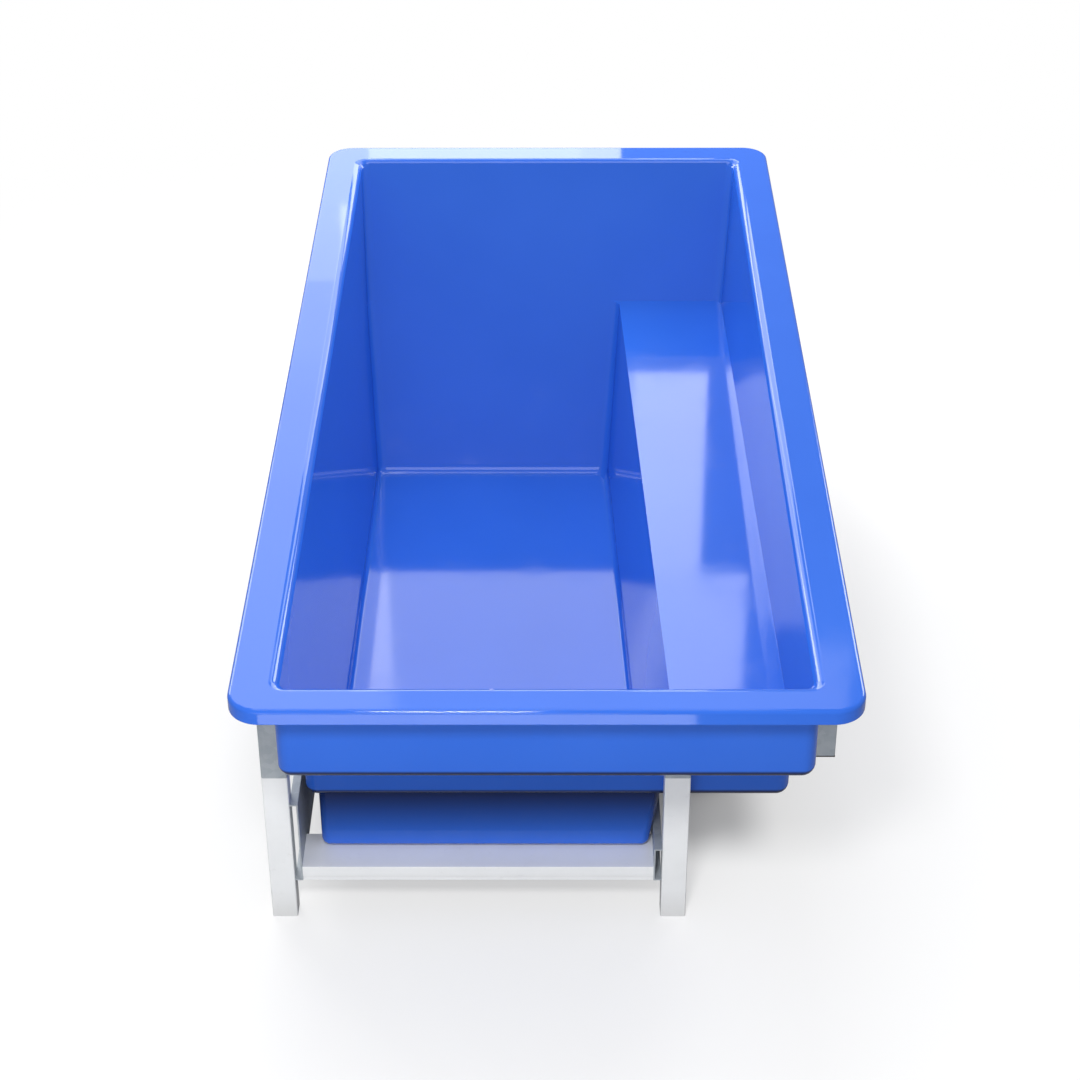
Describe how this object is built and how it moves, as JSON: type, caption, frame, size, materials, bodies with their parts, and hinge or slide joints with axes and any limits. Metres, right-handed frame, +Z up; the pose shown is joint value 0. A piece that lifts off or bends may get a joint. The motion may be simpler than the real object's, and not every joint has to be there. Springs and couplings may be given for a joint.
{
  "type": "cold plunge tub",
  "caption": "Glossy blue cold plunge tub with a side bench and a deep foot well, in a stepped casing on a square-tube frame with a drain valve.",
  "frame": {"origin": "on the floor under the middle of the rim", "axes": "+X to the right seen from the near end, +Y towards the far end, +Z up"},
  "size_m": [1.1, 2.336, 0.77],
  "materials": {
    "gel_coat": "high gloss",
    "galvanised": "dull zinc",
    "white_paint": "satin",
    "strip_rubber": "matt",
    "pipe_plastic": "satin",
    "valve_brass": "cast and tumbled",
    "bright_steel": "turned",
    "lever_red": "dipped"
  },
  "bodies": {
    "tub": {"basin": "gel_coat", "casing": "gel_coat", "left_top_rail": "galvanised", "right_top_rail": "galvanised", "left_front_post": "galvanised", "right_front_post": "galvanised", "left_rear_post": "galvanised", "right_rear_post": "galvanised", "front_cross_beam": "galvanised", "rear_cross_beam": "galvanised", "front_hanger": "galvanised", "rear_hanger": "galvanised", "left_front_leg": "white_paint", "right_front_leg": "white_paint", "left_rear_leg": "white_paint", "right_rear_leg": "white_paint", "leg_feet": "pipe_plastic", "leg_spigots": "galvanised", "leg_bolts": "galvanised", "post_caps": "strip_rubber", "left_side_channel": "galvanised", "right_side_channel": "galvanised", "front_well_beam": "white_paint", "rear_well_beam": "white_paint", "lip_strips": "strip_rubber", "cross_beam_strips": "strip_rubber", "well_strips": "strip_rubber", "drain_strainer": "bright_steel", "drain_gasket": "strip_rubber", "drain_back_nut": "pipe_plastic", "drain_elbow": "pipe_plastic", "drain_pipe": "pipe_plastic", "valve_body": "valve_brass", "hose_tail": "pipe_plastic"},
    "valve_handle": {"valve_ball": "bright_steel", "valve_stem": "bright_steel", "valve_lever": "lever_red", "valve_nut": "bright_steel"}
  },
  "joints": [
    {"name": "drain_valve", "type": "hinge", "parent": "tub", "child": "valve_handle", "pos_m": [0.33, -0.328, 0.067], "axis": [0, 0, -1], "range_deg": [0, 90]}
  ]
}
